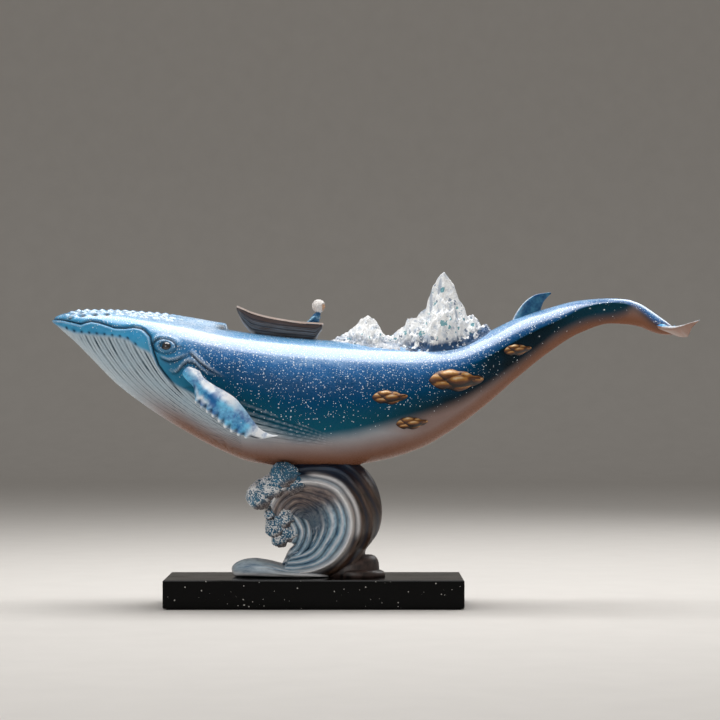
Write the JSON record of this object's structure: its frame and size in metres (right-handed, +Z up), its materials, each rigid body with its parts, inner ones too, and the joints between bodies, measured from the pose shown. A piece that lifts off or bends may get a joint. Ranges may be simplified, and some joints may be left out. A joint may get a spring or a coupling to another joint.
{
  "type": "whale figurine",
  "caption": "Long blue whale ornament carrying a rowing boat and snow peaks, held up by a curling wave on a black stone plinth.",
  "frame": {"origin": "middle of the underside of the felt under the plinth", "axes": "+Z up, the whale's head towards -X and its tail towards +X, its left flank towards -Y"},
  "size_m": [0.5487, 0.156, 0.2879],
  "materials": {
    "black_stone": "polished black granite with fine pale flecks",
    "felt": "black felt",
    "steel": "plain turned steel",
    "wave_paint": "cast resin, airbrushed pale blue and white with grey shading, satin",
    "foam_paint": "cast resin, stippled white over blue, satin",
    "whale_paint": "cast resin, airbrushed deep blue to pale grey with white star flecks, gloss lacquer",
    "fin_paint": "cast resin, blue with dry-brushed white, gloss lacquer",
    "eye_gloss": "glossy near-black bead",
    "gold_paint": "cast resin, antique gold paint with brown recesses",
    "boat_paint": "cast resin painted as weathered planks",
    "rail_paint": "cast resin painted as pale worn wood",
    "coat_paint": "cast resin, blue coat",
    "hair_paint": "cast resin, pale hair and plain face",
    "snow_paint": "cast resin, white over turquoise and navy crevices, satin"
  },
  "bodies": {
    "root": {"plinth": "black_stone", "base_felt": "felt", "pedestal_bolts": "steel", "support_rod": "steel", "wave_pedestal": "wave_paint", "wavelet": "wave_paint", "upper_foam_crest": "foam_paint", "lower_foam_crest": "foam_paint", "whale_body": "whale_paint", "tail_fluke": "whale_paint", "dorsal_fin": "whale_paint", "left_pectoral_fin": "fin_paint", "right_pectoral_fin": "fin_paint", "left_eye": "eye_gloss", "right_eye": "eye_gloss", "boat_hull": "boat_paint", "boat_thwarts": "boat_paint", "boat_rail": "rail_paint", "child_coat": "coat_paint", "child_head": "hair_paint", "snow_mountain": "snow_paint", "left_front_cloud": "gold_paint", "left_low_cloud": "gold_paint", "left_large_cloud": "gold_paint", "left_rear_cloud": "gold_paint", "right_front_cloud": "gold_paint", "right_low_cloud": "gold_paint", "right_large_cloud": "gold_paint", "right_rear_cloud": "gold_paint"}
  },
  "joints": []
}
